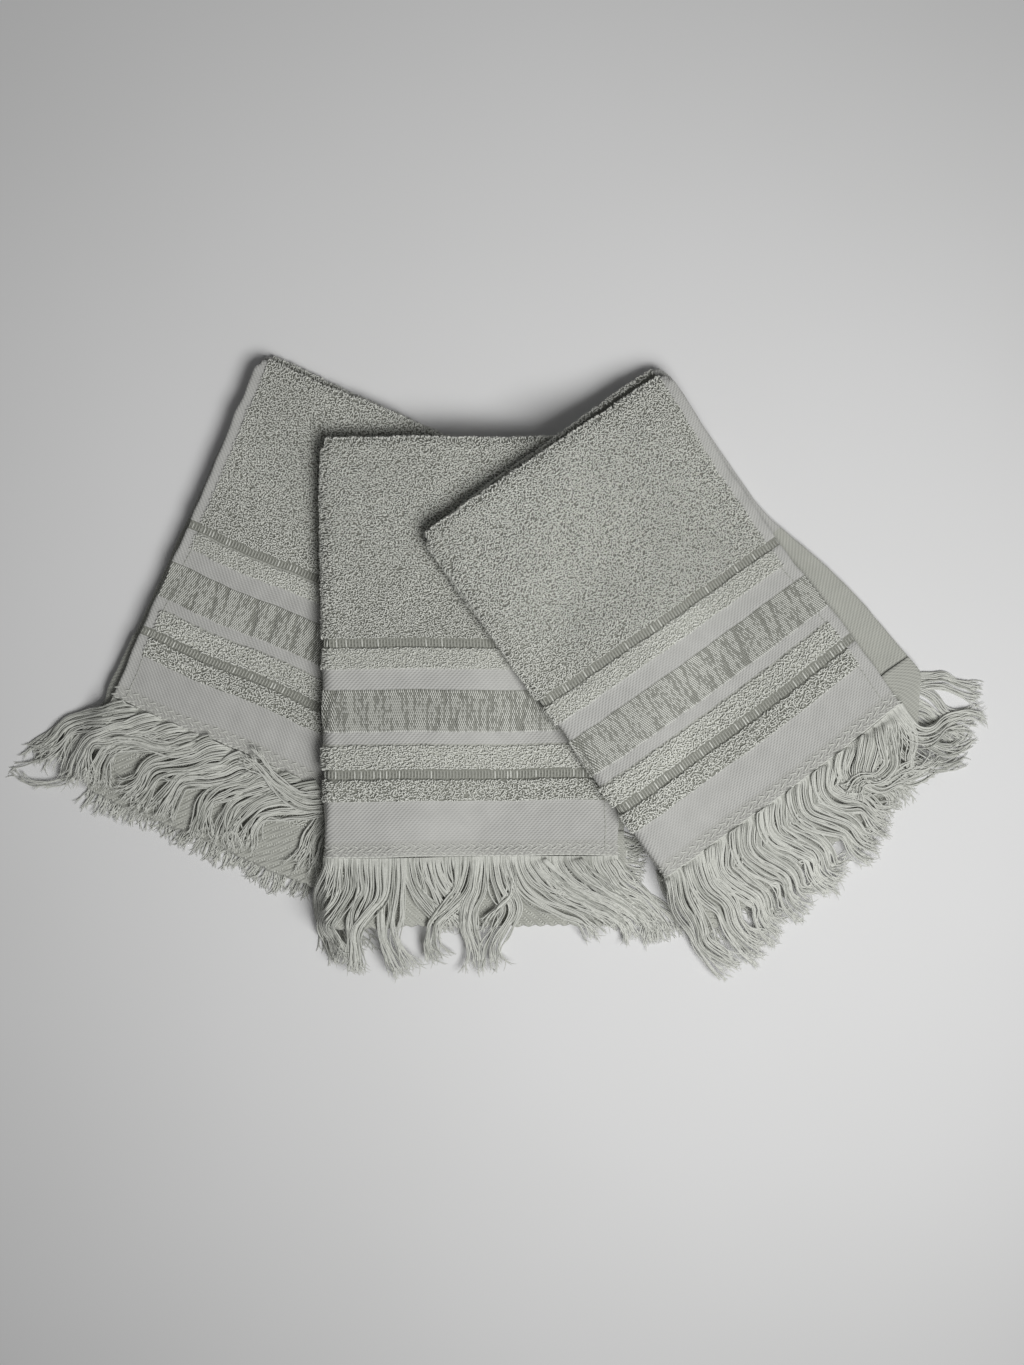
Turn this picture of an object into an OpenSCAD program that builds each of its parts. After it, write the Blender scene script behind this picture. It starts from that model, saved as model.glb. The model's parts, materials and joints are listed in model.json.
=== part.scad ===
// Three matching terry hand towels with knotted-off warp fringes, each folded once across and
// once along, laid on top of one another in a fan. Millimetres, +Z up. The origin is the middle
// of the set's footprint, on the surface that the set lies on.

/* [Cloth] */
// Full width of one towel, from selvedge to selvedge
cloth_w = 300; // [240:10:360]
// Woven length of one towel, from hem to hem, without its fringes
cloth_l = 500; // [410:10:600]
// Thickness of one layer of terry where the towel lies folded
layer_t = 2.7; // [2.2:0.1:3.3]
// Length of the free warp yarns at each end
fringe_l = 58; // [40:1:70]
// Thickness of a fringe lying free
fringe_t = 2.2; // [1.8:0.1:2.8]

/* [Folding] */
// Gap between the two leaves of a folded towel, where its tucked-in fringe lies
leaf_gap = 2.4; // [2:0.1:3]
// How far the turned-back end of the middle and right towels reaches past their front hem
set_back = 35; // [25:1:45]
// How far the turned-back end of the left towel reaches past its front hem
left_set_back = 48; // [35:1:58]
// Length of the back end that is turned in on the middle and right towels
turn_in = 48; // [40:1:60]
// Length of the back end that is turned in on the left towel
left_turn_in = 80; // [65:1:95]

/* [Sewing] */
// Distance from the selvedge to the side hem's stitching
side_hem_w = 6.5; // [5:0.5:9]
// Distance from the front hem's edge to its stitching
end_hem_w = 3; // [2.5:0.5:5]
// Thickness of the sewing thread
thread_t = 0.5; // [0.4:0.1:0.8]

/* [Fan] */
// Turn of the left towel about the vertical
left_turn = -24; // [-30:1:-15]
// Turn of the middle towel about the vertical
middle_turn = 0.5; // [-4:0.5:4]
// Turn of the right towel about the vertical
right_turn = 35.5; // [25:0.5:42]
// Left towel's middle, left of the middle towel's
left_dx = 86; // [70:1:100]
// Left towel's middle, behind the middle towel's
left_dy = 28; // [15:1:40]
// Right towel's middle, right of the middle towel's
right_dx = 107; // [90:1:120]
// Right towel's middle, behind the middle towel's
right_dy = 16; // [5:1:30]
// Slant of a towel's lengthwise fold, which lets the lower leaf peep out, in degrees
left_slant = 0.7; // [0:0.1:1.5]
// The same slant on the middle towel
middle_slant = 0.4; // [0:0.1:1.5]
// The same slant on the right towel
right_slant = 1.2; // [0:0.1:1.5]
// Clear height kept between towels that lie on one another
rest_gap = 1.1; // [0.5:0.1:1.5]
// Length over which a towel sinks to the surface past the edge of the one below it
drape_l = 45; // [35:1:60]

/* [Hidden] */

LEFT = 0;
MIDDLE = 1;
RIGHT = 2;

fold_w = cloth_w / 2;           // width of a folded towel
leaf_t = 2 * layer_t;           // a leaf is the front panel lying on the back panel
stack_t = 2 * leaf_t + leaf_gap;
mid_z = stack_t / 2;            // the level of the gap between the leaves
fringe_gap = 0.45;              // clear height between a fringe and the cloth by it
tail_t = leaf_t - fringe_t - fringe_gap; // a leaf past the front hem, pressed by the fringe on it
hem_ramp = 1.2;                 // half the width of the step down at the front hem
edge_r = leaf_t / 2;            // rounding of a leaf's edges
thinnest = 0.25;                // least share of a leaf's thickness, at its very edge
thread_gap = 0.3;               // clear height between a sewn thread and the cloth under it
free_edge = 10;                 // a towel stays level this far past the one below it
fringe_rest_t = 3;              // height of a flattened fringe under another towel
fringe_rest_w = 25;             // length over which a towel sinks beside such a fringe
fringe_side = 40;               // how far a towel's fringe strays past its side

// Across a folded towel: each leaf's steps, and the steps round the fold between them
leaf_steps = 16;
roll_steps = 6;
panel_steps = 22;
tail_steps = 5;
fringe_steps = 9;
fringe_across = 14;
thread_steps = 30;

cloth_colour = [0.66, 0.68, 0.65];
fringe_colour = [0.68, 0.70, 0.67];
thread_colour = [0.60, 0.62, 0.59];

// Each towel: middle of its folded rectangle, turn, side of its lengthwise fold (1 left, -1 right),
// slant of that fold, set-back, turned-in length and how far its fringe sways to its selvedge side
towels = [
    [[-left_dx, left_dy], left_turn, -1, left_slant, left_set_back, left_turn_in, 20],
    [[0, 0], middle_turn, 1, middle_slant, set_back, turn_in, 8],
    [[right_dx, right_dy], right_turn, 1, right_slant, set_back, turn_in, -6]
];

function middle_of(t) = towels[t][0];
function turn_of(t) = towels[t][1];
function side_of(t) = towels[t][2];
function slant_of(t) = sin(towels[t][3]);
function set_back_of(t) = towels[t][4];
function turn_in_of(t) = towels[t][5];
function sway_of(t) = towels[t][6];

// Woven length = front panel + back panel + turned-in end
function fold_l(t) = (cloth_l + set_back_of(t) - turn_in_of(t)) / 2;
function front_l(t) = fold_l(t) - set_back_of(t);

// A towel's own directions: across, from its fold to its selvedge, and along, to its fringe
function across(t) = side_of(t) * [cos(turn_of(t)), sin(turn_of(t))];
function along(t) = [sin(turn_of(t)), -cos(turn_of(t))];
function corner(t) = middle_of(t) - across(t) * fold_w / 2 - along(t) * fold_l(t) / 2;
function to_set(t, p) = corner(t) + across(t) * p.x + along(t) * p.y;
function to_towel(t, q) = let (d = q - corner(t)) [d * across(t), d * along(t)];

function smooth(x) = let (s = max(0, min(1, x))) s * s * (3 - 2 * s);
function blend(a, b, share) = a + (b - a) * share;

// Distance of a point outside the rectangle from lo to hi
function outside(p, lo, hi) = norm([
    max(0, lo.x - p.x, p.x - hi.x),
    max(0, lo.y - p.y, p.y - hi.y)
]);

// Height at which a towel laid over towel t lies, at point q: level on it, then down to the surface
function over_cloth(t, q) =
    let (d = outside(to_towel(t, q), [0, 0], [fold_w, fold_l(t)]))
    (under(t, q) + stack_t + rest_gap) * (1 - smooth((d - free_edge) / drape_l));

function over_fringe(t, q) =
    let (
        hi = [fold_w + fringe_side, front_l(t) + fringe_l],
        d = outside(to_towel(t, q), [0, front_l(t)], hi)
    )
    (fringe_rest_t + rest_gap) * (1 - smooth(d / fringe_rest_w));

// Height of a towel's underside at point q
function under(t, q) = t == LEFT ? 0 : max([
    for (below = [LEFT : t - 1]) max(over_cloth(below, q), over_fringe(below, q))
]);

// Share of the full thickness left at distance d inside an edge
function edge_share(d) = d >= edge_r ? 1 : max(thinnest, sqrt(1 - pow(1 - max(d, 0) / edge_r, 2)));

function leaf_t_at(t, v) = blend(leaf_t, tail_t, smooth((v - front_l(t) + hem_ramp) / (2 * hem_ramp)));
function leaf_mid_at(t, v) = leaf_gap / 2 + leaf_t_at(t, v) / 2;
function end_share(t, v) = edge_share(min(v, fold_l(t) - v));

// A point on a leaf: a across, v along; leaf is 1 on the upper, -1 on the lower, between on the fold
function laid(t, a, v, leaf) = [
    a - leaf * slant_of(t) * v * a / fold_w,
    v + leaf * slant_of(t) * a
];

function raised(t, p, z) = let (q = to_set(t, p)) [q.x, q.y, under(t, q) + mid_z + z];

// Highest point of the upper leaf at a, v, measured from the gap between the leaves
function top_z(t, v) = leaf_mid_at(t, v) + leaf_t_at(t, v) / 2;

// Rows along a towel, close together at its folds and its hem
function rows(t) = concat(
    [0, edge_r / 4],
    [for (i = [1 : panel_steps - 1]) front_l(t) * i / panel_steps],
    [front_l(t) - hem_ramp, front_l(t) + hem_ramp],
    [for (i = [1 : tail_steps - 1]) front_l(t) + set_back_of(t) * i / tail_steps],
    [fold_l(t) - edge_r / 4, fold_l(t)]
);

// The cloth's cross-section at row v: the middle of the cloth runs in along the upper leaf, round
// the fold and out along the lower leaf; face 1 is its outside and -1 its inside
function section(t, v, face) =
    let (
        c = leaf_mid_at(t, v),
        half = leaf_t_at(t, v) / 2 * end_share(t, v),
        roll = c + leaf_t_at(t, v) / 2,
        spots = concat(
            [0, edge_r / 4, edge_r],
            [for (i = [1 : leaf_steps]) blend(edge_r, fold_w - roll, i / leaf_steps)]
        )
    )
    concat(
        [for (s = spots) raised(t, laid(t, fold_w - s, v, 1), c + face * half * edge_share(s))],
        [
            for (i = [1 : roll_steps - 1])
            let (turn = 90 + 180 * i / roll_steps, r = c + face * half)
            raised(t, laid(t, roll + r * cos(turn), v, sin(turn)), r * sin(turn))
        ],
        [
            for (i = [len(spots) - 1 : -1 : 0])
            raised(t, laid(t, fold_w - spots[i], v, -1), -c - face * half * edge_share(spots[i]))
        ]
    );

function cloth_face(t, face) = [for (v = rows(t)) section(t, v, face)];

// A fringe's grid: drop(v) gives its level above the underside; the yarns sway as they leave the hem
function fringe_grid(t, leaf, level) = [
    for (i = [0 : fringe_steps])
    let (
        reach = fringe_gap + (fringe_l - fringe_gap) * i / fringe_steps,
        v = front_l(t) + hem_ramp + reach
    )
    [
        for (k = [0 : fringe_across])
        let (
            a = fold_w * k / fringe_across,
            p = laid(t, a, v, leaf) + [sway_of(t) * smooth(reach / fringe_l), 0],
            q = to_set(t, p)
        )
        [q.x, q.y, under(t, q) + level[i]]
    ]
];

// Share of the way from the tail's top down to the surface, at step i of the front fringe
function fall(t, i) =
    let (reach = fringe_l * i / fringe_steps)
    smooth((reach - set_back_of(t)) / (fringe_l - set_back_of(t)));

function tail_top() = mid_z + leaf_gap / 2 + tail_t;
function tail_bottom() = mid_z - leaf_gap / 2 - tail_t;

function front_fringe_face(t, up) = fringe_grid(t, 1, [
    for (i = [0 : fringe_steps])
    blend(tail_top() + fringe_gap, fringe_t + 2 * fringe_gap, fall(t, i)) + up * fringe_t
]);

function under_fringe_face(t, up) = fringe_grid(t, -1, [
    for (i = [0 : fringe_steps]) up * (tail_bottom() - fringe_gap)
]);

// The back end's fringe lies in the gap between the leaves and points back to the top fold
function tucked_fringe_face(t, up) =
    let (
        start = fold_l(t) - turn_in_of(t),
        half = leaf_gap / 2 - fringe_gap,
        inset = stack_t
    )
    [
        for (i = [0 : fringe_steps])
        let (v = start - fringe_l * i / fringe_steps)
        [
            for (k = [0 : fringe_across])
            let (a = blend(inset, fold_w - inset, k / fringe_across))
            raised(t, [a, v], up * half)
        ]
    ];

// A sewn thread through the points route, lying on the upper leaf: side points its width
thread_profile = [-1, 0, 1];
function thread_face(t, route, side, up) = [
    for (p = route)
    [
        for (k = thread_profile)
        raised(
            t,
            laid(t, p.x, p.y, 1) + k * side * thread_t / 2,
            top_z(t, p.y) + thread_gap + up * thread_t * (1 - abs(k) / 2)
        )
    ]
];

function hem_route(t) = [
    for (i = [0 : thread_steps])
    [blend(stack_t, fold_w - edge_r, i / thread_steps), front_l(t) - end_hem_w]
];

function side_route(t) = [
    for (i = [0 : thread_steps])
    [fold_w - side_hem_w, blend(edge_r, front_l(t) - end_hem_w - thread_t * 2, i / thread_steps)]
];

function all_of(grid) = [for (row = grid) each row];

// A closed solid between two grids of points that match one to one
module shell(outer, inner, mirrored) {
    n = len(outer[0]);
    m = len(outer);
    far = n * m;
    function at(i, j) = j * n + i;
    function two(a, b, c, d) = [[a, b, c], [a, c, d]];
    skin = [
        for (j = [0 : m - 2], i = [0 : n - 2])
        each concat(
            two(at(i, j), at(i + 1, j), at(i + 1, j + 1), at(i, j + 1)),
            two(far + at(i, j), far + at(i, j + 1), far + at(i + 1, j + 1), far + at(i + 1, j))
        )
    ];
    ends = [
        for (i = [0 : n - 2])
        each concat(
            two(at(i, 0), far + at(i, 0), far + at(i + 1, 0), at(i + 1, 0)),
            two(at(i + 1, m - 1), far + at(i + 1, m - 1), far + at(i, m - 1), at(i, m - 1))
        )
    ];
    sides = [
        for (j = [0 : m - 2])
        each concat(
            two(at(0, j + 1), far + at(0, j + 1), far + at(0, j), at(0, j)),
            two(at(n - 1, j), far + at(n - 1, j), far + at(n - 1, j + 1), at(n - 1, j + 1))
        )
    ];
    faces = concat(skin, ends, sides);
    turned = [for (f = faces) [f[2], f[1], f[0]]];
    polyhedron(concat(all_of(outer), all_of(inner)), mirrored ? turned : faces);
}

// The set's footprint is centred on the origin
footprint = [
    for (t = [LEFT, MIDDLE, RIGHT])
    each concat(all_of(cloth_face(t, 1)), all_of(front_fringe_face(t, 0)), all_of(under_fringe_face(t, 0)))
];
xs = [for (p = footprint) p.x];
ys = [for (p = footprint) p.y];
to_origin = -[min(xs) + max(xs), min(ys) + max(ys), 0] / 2;

module cloth(t) {
    color(cloth_colour)
    translate(to_origin)
    shell(cloth_face(t, 1), cloth_face(t, -1), side_of(t) > 0);
}

module front_fringe(t) {
    color(fringe_colour)
    translate(to_origin)
    shell(front_fringe_face(t, 1), front_fringe_face(t, 0), side_of(t) < 0);
}

module under_fringe(t) {
    color(fringe_colour)
    translate(to_origin)
    shell(under_fringe_face(t, 1), under_fringe_face(t, 0), side_of(t) < 0);
}

module tucked_fringe(t) {
    color(fringe_colour)
    translate(to_origin)
    shell(tucked_fringe_face(t, 1), tucked_fringe_face(t, -1), side_of(t) > 0);
}

module hem_stitching(t) {
    color(thread_colour)
    translate(to_origin)
    shell(thread_face(t, hem_route(t), [0, 1], 1), thread_face(t, hem_route(t), [0, 1], 0), side_of(t) > 0);
}

module side_stitching(t) {
    color(thread_colour)
    translate(to_origin)
    shell(thread_face(t, side_route(t), [1, 0], 1), thread_face(t, side_route(t), [1, 0], 0), side_of(t) < 0);
}

cloth(LEFT);  // left_towel_cloth
front_fringe(LEFT);  // left_towel_front_fringe
under_fringe(LEFT);  // left_towel_under_fringe
tucked_fringe(LEFT);  // left_towel_tucked_fringe
hem_stitching(LEFT);  // left_towel_hem_stitching
side_stitching(LEFT);  // left_towel_side_stitching
cloth(MIDDLE);  // middle_towel_cloth
front_fringe(MIDDLE);  // middle_towel_front_fringe
under_fringe(MIDDLE);  // middle_towel_under_fringe
tucked_fringe(MIDDLE);  // middle_towel_tucked_fringe
hem_stitching(MIDDLE);  // middle_towel_hem_stitching
side_stitching(MIDDLE);  // middle_towel_side_stitching
cloth(RIGHT);  // right_towel_cloth
front_fringe(RIGHT);  // right_towel_front_fringe
under_fringe(RIGHT);  // right_towel_under_fringe
tucked_fringe(RIGHT);  // right_towel_tucked_fringe
hem_stitching(RIGHT);  // right_towel_hem_stitching
side_stitching(RIGHT);  // right_towel_side_stitching
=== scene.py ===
# %% [markdown]
# # Three fringed terry towels laid out in a fan
# Three matching sage-grey hand towels lie on one another on a pale surface. Each is one piece of
# cloth, folded once across and once along, with a woven border and a long fringe at its hem.
# The CAD frame gives where each towel lies. This script adds what cloth is really made of: the
# folded sheet, its loops of pile, its woven floats, its sewing and the loose yarns of its fringes.

import json

import bpy
import numpy as np
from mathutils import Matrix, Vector
from mathutils.bvhtree import BVHTree

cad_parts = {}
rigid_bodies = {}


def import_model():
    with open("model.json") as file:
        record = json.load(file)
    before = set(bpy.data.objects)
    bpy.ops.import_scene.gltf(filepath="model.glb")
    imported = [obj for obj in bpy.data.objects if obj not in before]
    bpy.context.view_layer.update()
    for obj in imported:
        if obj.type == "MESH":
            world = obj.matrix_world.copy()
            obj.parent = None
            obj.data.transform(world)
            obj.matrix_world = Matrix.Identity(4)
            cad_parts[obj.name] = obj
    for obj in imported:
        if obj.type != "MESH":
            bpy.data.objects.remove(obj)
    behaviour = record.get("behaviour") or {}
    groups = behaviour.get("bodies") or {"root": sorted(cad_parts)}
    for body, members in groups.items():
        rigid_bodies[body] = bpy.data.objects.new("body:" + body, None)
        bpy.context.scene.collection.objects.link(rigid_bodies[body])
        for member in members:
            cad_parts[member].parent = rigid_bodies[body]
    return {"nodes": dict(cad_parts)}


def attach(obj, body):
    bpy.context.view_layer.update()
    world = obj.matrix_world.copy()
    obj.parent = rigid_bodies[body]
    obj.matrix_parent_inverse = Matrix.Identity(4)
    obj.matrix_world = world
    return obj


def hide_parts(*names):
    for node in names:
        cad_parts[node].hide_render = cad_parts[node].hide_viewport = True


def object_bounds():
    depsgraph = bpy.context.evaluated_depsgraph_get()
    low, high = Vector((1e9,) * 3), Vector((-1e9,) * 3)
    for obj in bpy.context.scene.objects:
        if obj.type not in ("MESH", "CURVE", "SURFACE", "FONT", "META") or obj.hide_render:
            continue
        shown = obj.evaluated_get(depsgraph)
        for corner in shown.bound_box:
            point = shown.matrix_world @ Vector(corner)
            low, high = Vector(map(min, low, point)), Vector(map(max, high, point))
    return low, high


for leftover in list(bpy.data.objects):  # the start-up file's cube, lamp and camera
    bpy.data.objects.remove(leftover)
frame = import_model()
cad_low, cad_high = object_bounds()
MM = 0.001  # the modelling below is in millimetres, and Blender's unit is the metre
rng = np.random.default_rng(11)
print("CAD box in mm:", [round(side / MM, 1) for side in cad_high - cad_low])

# %% [markdown]
# ## Where each towel lies
# A towel's sewn hem and side hem show which way it was turned, and the straight edge of its
# lengthwise fold shows how far the two leaves were slanted against each other. Measuring those on
# the CAD nodes keeps every later piece tied to the frame: if a towel moves there, it moves here.


# %% Measure the towels
def cad_points(node):
    """A CAD node's points, in millimetres."""
    mesh = frame["nodes"][node].data
    points = np.empty(len(mesh.vertices) * 3)
    mesh.vertices.foreach_get("co", points)
    return points.reshape(-1, 3) / MM


def unit(vectors):
    return vectors / np.maximum(np.linalg.norm(vectors, axis=-1, keepdims=True), 1e-9)


def smooth(x):
    """0 below 0, 1 above 1, and an even S between them."""
    share = np.clip(x, 0, 1)
    return share * share * (3 - 2 * share)


def edge_line(position, reach, bins=24):
    """Straight line through the outermost points: (slope, reach where position is 0)."""
    low, high = position.min(), position.max()
    spots = []
    for start in np.linspace(low, high, bins + 1)[1:-2]:
        inside = (position >= start) & (position < start + (high - low) / bins)
        if inside.any():
            best = np.argmax(np.where(inside, reach, -np.inf))
            spots.append((position[best], reach[best]))
    spots = np.array(spots)
    return np.polyfit(spots[:, 0], spots[:, 1], 1)


FRINGE_START = 1.65  # a fringe's solid starts this far past the hem
FOLD_ROUND = 2.5  # the solid's fold is rounded by this much at its two ends


class Towel:
    """One folded towel's place: corner, directions across and along it, and its lengths."""

    def __init__(self, name):
        self.name = name
        self.body = f"{name}_towel"
        cloth = cad_points(f"{name}_towel_cloth")[:, :2]
        hem = cad_points(f"{name}_towel_hem_stitching")[:, :2]
        side = cad_points(f"{name}_towel_side_stitching")[:, :2]
        across = np.linalg.svd(hem - hem.mean(0), full_matrices=False)[2][0]
        across = across * np.sign((side.mean(0) - cloth.mean(0)) @ across)
        along = np.array([-across[1], across[0]])
        along = along * np.sign((hem.mean(0) - cloth.mean(0)) @ along)
        slope = -edge_line(cloth @ along, -cloth @ across)[0]
        self.slant = np.sin(np.arctan(slope))
        self.along = unit(along + slope * across)
        self.across = unit(across - slope * along)
        a, v = cloth @ self.across, cloth @ self.along
        on_fold = a < a.min() + FOLD_ROUND
        self.corner = self.across * a.min() + self.along * v[on_fold].min()
        self.fold_l = np.ptp(v[on_fold])
        self.fold_w = edge_line(v - v[on_fold].min(), a)[1] - a.min()
        fringe = cad_points(f"{name}_towel_front_fringe")[:, :2]
        self.front_l = (fringe @ self.along).min() - v[on_fold].min() - FRINGE_START
        self.turn_in = FLAT_L - self.front_l - self.fold_l

    def to_set(self, a, v):
        """From the towel's own across and along to the set's x and y."""
        return (
            self.corner[0] + a * self.across[0] + v * self.along[0],
            self.corner[1] + a * self.across[1] + v * self.along[1],
        )


FLAT_W = 300.0  # width of one towel lying flat, from selvedge to selvedge
FLAT_L = 500.0  # its woven length, from hem to hem
towels = {name: Towel(name) for name in ("left", "middle", "right")}
for towel in towels.values():
    print(towel.name, "folded", round(towel.fold_w, 1), "x", round(towel.fold_l, 1), "front panel",
          round(towel.front_l, 1), "turned in", round(towel.turn_in, 1), "slant", round(towel.slant, 4))

# %% [markdown]
# ## Heights of what lies underneath
# A towel laid over another is carried by it, then sinks to the surface past its edge. Rays cast
# straight up and down through the CAD solids give those heights as smooth maps. Every loop and
# yarn is later set on a map, so nothing floats and nothing sinks into the towel below.

# %% Height maps
GRID_STEP = 3.0
GRID_X = np.arange(-330.0, 330.1, GRID_STEP)
GRID_Y = np.arange(-240.0, 240.1, GRID_STEP)
HIGH = 200.0  # above everything


def tree_of(nodes):
    """One search tree over several CAD nodes."""
    points, faces, start = [], [], 0
    for node in nodes:
        mesh = frame["nodes"][node].data
        points.extend(vertex.co / MM for vertex in mesh.vertices)
        faces.extend([start + k for k in polygon.vertices] for polygon in mesh.polygons)
        start = len(points)
    return BVHTree.FromPolygons(points, faces)


def ray_map(nodes, upward):
    """Lowest (upward) or highest surface of the nodes over each grid point, NaN where there is none."""
    heights = np.full((len(GRID_X), len(GRID_Y)), np.nan)
    if nodes:
        tree = tree_of(nodes)
        start, way = (-1.0, Vector((0, 0, 1))) if upward else (HIGH, Vector((0, 0, -1)))
        for i, x in enumerate(GRID_X):
            for j, y in enumerate(GRID_Y):
                hit = tree.ray_cast(Vector((x, y, start)), way)[0]
                if hit is not None:
                    heights[i, j] = hit.z
    return heights


def neighbours(values):
    """The grid and its eight shifted copies."""
    padded = np.pad(values, 1, mode="edge")
    rows, columns = values.shape
    return np.array([padded[i : i + rows, j : j + columns] for i in range(3) for j in range(3)])


def filled(values):
    """Empty cells take the mean of their filled neighbours, working outward."""
    while np.isnan(values).any():
        around = neighbours(values)
        count = (~np.isnan(around)).sum(0)
        mean = np.nansum(around, axis=0) / np.maximum(count, 1)
        values = np.where(np.isnan(values) & (count > 0), mean, values)
    return values


def blurred(values, passes):
    """Smooths a grid of values, so many times over."""
    for _ in range(passes):
        values = neighbours(values).mean(0)
    return values


def height_at(heights, x, y):
    """The map's height at any points, between its grid values."""
    i = np.clip((x - GRID_X[0]) / GRID_STEP, 0, len(GRID_X) - 1.001)
    j = np.clip((y - GRID_Y[0]) / GRID_STEP, 0, len(GRID_Y) - 1.001)
    i0, j0 = i.astype(int), j.astype(int)
    u, w = i - i0, j - j0
    return (
        heights[i0, j0] * (1 - u) * (1 - w)
        + heights[i0 + 1, j0] * u * (1 - w)
        + heights[i0, j0 + 1] * (1 - u) * w
        + heights[i0 + 1, j0 + 1] * u * w
    )


EDGE_TRIM = 4.0  # a solid's rounded edge is left out of its underside's map
order = list(towels)
for rank, towel in enumerate(towels.values()):
    soft = [f"{towel.name}_towel_{part}" for part in ("cloth", "under_fringe")]
    all_parts = ("cloth", "under_fringe", "front_fringe")
    below = [f"{name}_towel_{part}" for name in order[:rank] for part in all_parts]
    above = [f"{name}_towel_{part}" for name in order[rank + 1 :] for part in all_parts]
    grid_x, grid_y = np.meshgrid(GRID_X, GRID_Y, indexing="ij")
    a = (grid_x - towel.corner[0]) * towel.across[0] + (grid_y - towel.corner[1]) * towel.across[1]
    v = (grid_x - towel.corner[0]) * towel.along[0] + (grid_y - towel.corner[1]) * towel.along[1]
    underside = ray_map(soft, upward=True)
    top = ray_map([f"{towel.name}_towel_cloth"], upward=False)
    middle = (np.abs(a - towel.fold_w / 2) < 20) & (np.abs(v - towel.front_l / 2) < 20)
    towel.stack_t = float(np.nanmedian((top - underside)[middle]))
    near_edge = (a < EDGE_TRIM) | (v < EDGE_TRIM) | (a > towel.fold_w - EDGE_TRIM)
    underside[near_edge & (v < towel.fold_l)] = np.nan
    towel.under = blurred(filled(underside), 1) if rank else np.zeros_like(underside)
    towel.beneath = np.nan_to_num(ray_map(below, upward=False), nan=0.0)
    ceiling = ray_map(above, upward=True)
    towel.ceiling = np.nan_to_num(ceiling, nan=HIGH)
    print(towel.name, "stack", round(towel.stack_t, 2), "underside up to", round(towel.under.max(), 1))

# %% [markdown]
# ## The cloth as one folded sheet
# Each towel is a single length of cloth, 30 by 50 cm. It goes from its front hem up to the top
# fold, back underneath past the hem, and its far end is turned in; then the whole pack is folded
# in half lengthwise. So any spot on the cloth is two numbers, how far it is from a selvedge and
# from the front hem, and folding it is arithmetic: a line, a half circle, a line, in each
# direction. Pile, floats and stitches use the same two numbers, and so follow every fold.

# %% Fold a point of the flat cloth
LEAF_GAP = 2.4  # the fringe tucked in between the two leaves holds them this far apart
PILE_H = 1.0  # loops stand this far out of the woven ground
GROUND_T = 1.3  # the woven ground itself
CORNER_R = 7.0  # soft corners of the folded towel
EDGE_DROP = 0.9  # the top layer rolls down by this much at the top fold
EDGE_SOFT = 5.0  # over this length
SELVEDGE_BOW = {"left": 1.0, "middle": 0.0, "right": 2.5}  # how far the open edges sag inward
LOWER_FAN = {"left": 0.0, "middle": 0.0, "right": 12.0}  # how far the lower leaf fans out by the hem
UPPER_FAN = {"left": 0.0, "middle": 0.0, "right": 3.5}  # and how far the upper leaf does
HEM_LIFT = {"left": 0.0, "middle": 0.0, "right": 5.0}  # how far the hem is drawn up at its open corner
TAIL_TAPER = {"left": 0.1, "middle": 0.0, "right": 0.8}  # how fast the turned-back end narrows
FAN_FROM, FAN_OVER = 80.0, 90.0  # how far from the top fold it starts to fan, and over what length
LIFT_FROM, LIFT_OVER = 70.0, 110.0  # the same for the hem's drawn-up corner
SIDE_RIPPLES = ((0.9, 60), (0.5, 17))  # (height, length) of how the long edges wander
END_RIPPLES = ((0.8, 70), (0.4, 19))  # and the short ones
SAG, SAG_L = 0.35, 55  # soft hollows in the upper leaf
LEAF_APART = 40  # keeps the ripples of the two leaves from matching


def waves(x, y, seed, length, count=5):
    """A smooth uneven height from -1 to 1, with bumps about that length."""
    draw = np.random.default_rng(seed)
    total = np.zeros(np.broadcast(x, y).shape)
    for _ in range(count):
        turn, start, pace = draw.uniform(0, 2 * np.pi, 2).tolist() + [draw.uniform(0.7, 1.4)]
        ahead = x * np.cos(turn) + y * np.sin(turn)
        total = total + np.sin(ahead * 2 * np.pi * pace / length + start)
    return total / count


def along_pack(towel, t):
    """Where t falls before the lengthwise fold: (v, level, v and level of the outward normal)."""
    layer = (towel.stack_t - LEAF_GAP) / 4
    front = LEAF_GAP / 2 + 2 * layer - PILE_H - GROUND_T / 2
    back = LEAF_GAP / 2 + layer / 2
    turned = GROUND_T / 2
    top_r, end_r = (front - back) / 2, (back - turned) / 2
    top_start = towel.front_l - top_r
    back_start = top_start + np.pi * top_r
    end_start = back_start + towel.fold_l - top_r - end_r
    turned_start = end_start + np.pi * end_r
    top_turn = np.clip((t - top_start) / top_r, 0, np.pi)
    end_turn = np.clip((t - end_start) / end_r, 0, np.pi)
    on_top, on_back = t < back_start, t < end_start
    v_top = np.where(t < top_start, towel.front_l - t, top_r - top_r * np.sin(top_turn))
    v_end = towel.fold_l - end_r + end_r * np.sin(end_turn) - np.maximum(0, t - turned_start)
    v = np.where(on_top, v_top, np.where(on_back, top_r + t - back_start, v_end))
    level = np.where(
        on_top,
        (front + back) / 2 + top_r * np.cos(top_turn),
        (back + turned) / 2 + end_r * np.cos(end_turn),
    )
    normal_v = np.where(on_top, -np.sin(top_turn), -np.sin(end_turn))
    normal_level = np.where(on_top, np.cos(top_turn), -np.cos(end_turn))
    return v, level, normal_v, normal_level


def rounded_corner(a, v, towel):
    """Pulls the folded towel's square corners in to soft ones."""
    left, top = np.maximum(0, CORNER_R - a), np.maximum(0, CORNER_R - v)
    right = np.maximum(0, a - towel.fold_w + CORNER_R)
    end = np.maximum(0, v - towel.fold_l + CORNER_R)
    side, head = left + right, top + end
    keep = np.maximum(side, head) / np.maximum(np.hypot(side, head), 1e-6)
    keep = np.where((side > 0) & (head > 0), keep, 1)
    return a + (left - right) * (1 - keep), v + (top - end) * (1 - keep)


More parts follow.
